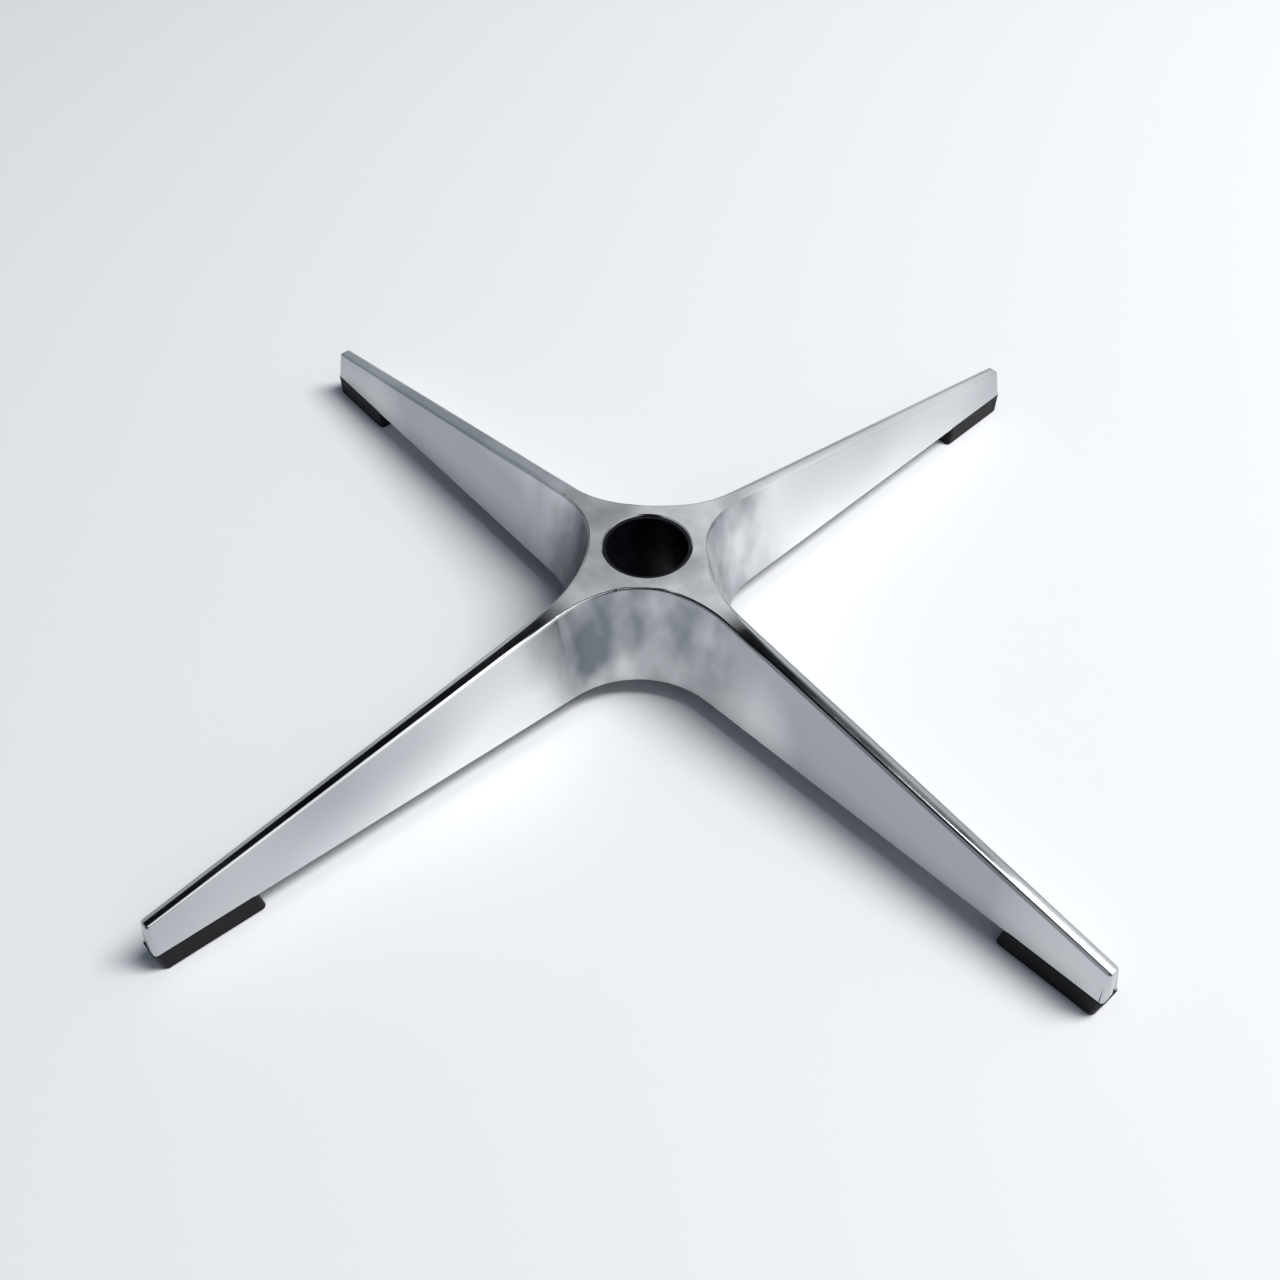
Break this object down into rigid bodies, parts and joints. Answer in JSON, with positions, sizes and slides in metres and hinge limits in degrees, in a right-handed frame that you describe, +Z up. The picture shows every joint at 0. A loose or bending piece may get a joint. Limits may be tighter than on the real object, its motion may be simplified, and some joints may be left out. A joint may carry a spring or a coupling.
{
  "type": "swivel chair base",
  "caption": "Polished cast star base for a swivel chair, with slim tapering arms, a lined column socket and black glides under the tips.",
  "frame": {"origin": "on the floor, on the axis of the column socket", "axes": "+Z up along the column's axis, +X and +Y each along an arm"},
  "size_m": [0.7, 0.7, 0.0782],
  "materials": {
    "casting": "polished, softer on the hub's flat face",
    "sleeve": "gloss black",
    "glide": "semi-matte black"
  },
  "bodies": {
    "root": {"star_casting": "casting", "hub_sleeve": "sleeve", "glide_px": "glide", "glide_py": "glide", "glide_nx": "glide", "glide_ny": "glide"}
  },
  "joints": []
}
